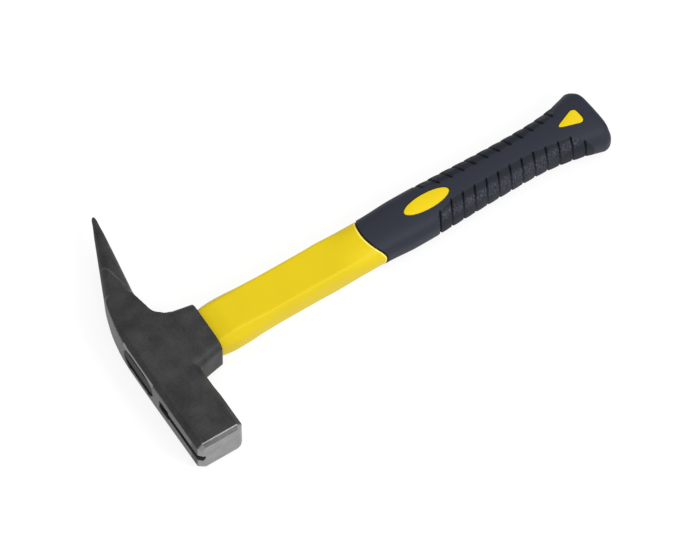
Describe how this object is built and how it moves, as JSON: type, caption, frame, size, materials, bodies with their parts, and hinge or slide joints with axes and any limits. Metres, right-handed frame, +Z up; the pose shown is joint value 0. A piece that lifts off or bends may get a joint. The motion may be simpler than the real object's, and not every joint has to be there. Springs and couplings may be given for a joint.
{
  "type": "roofing hammer",
  "caption": "One-handed hammer with a square bevelled poll, a magnetic nail groove, a long curved pick and a fibreglass handle with a moulded jacket and a ribbed rubber grip.",
  "frame": {"origin": "on the lower cheek of the head, under the crossing of the handle's axis and the poll's axis", "axes": "+X along the handle to the butt, -Y the way the striking face looks, +Z up out of the upper cheek"},
  "size_m": [0.3292, 0.1745, 0.03],
  "materials": {
    "blackened_steel": "forged steel, black oxide and lacquer, striking face ground bright",
    "magnet": "nickel plated",
    "fibreglass": "pultruded rod, natural",
    "epoxy": "dark filled epoxy, cast in place",
    "yellow_plastic": "moulded polypropylene, satin",
    "dark_rubber": "moulded thermoplastic rubber, satin"
  },
  "bodies": {
    "root": {"head": "blackened_steel", "nail_magnet": "magnet", "core_rod": "fibreglass", "eye_resin": "epoxy", "shaft_jacket": "yellow_plastic", "grip": "dark_rubber"}
  },
  "joints": []
}
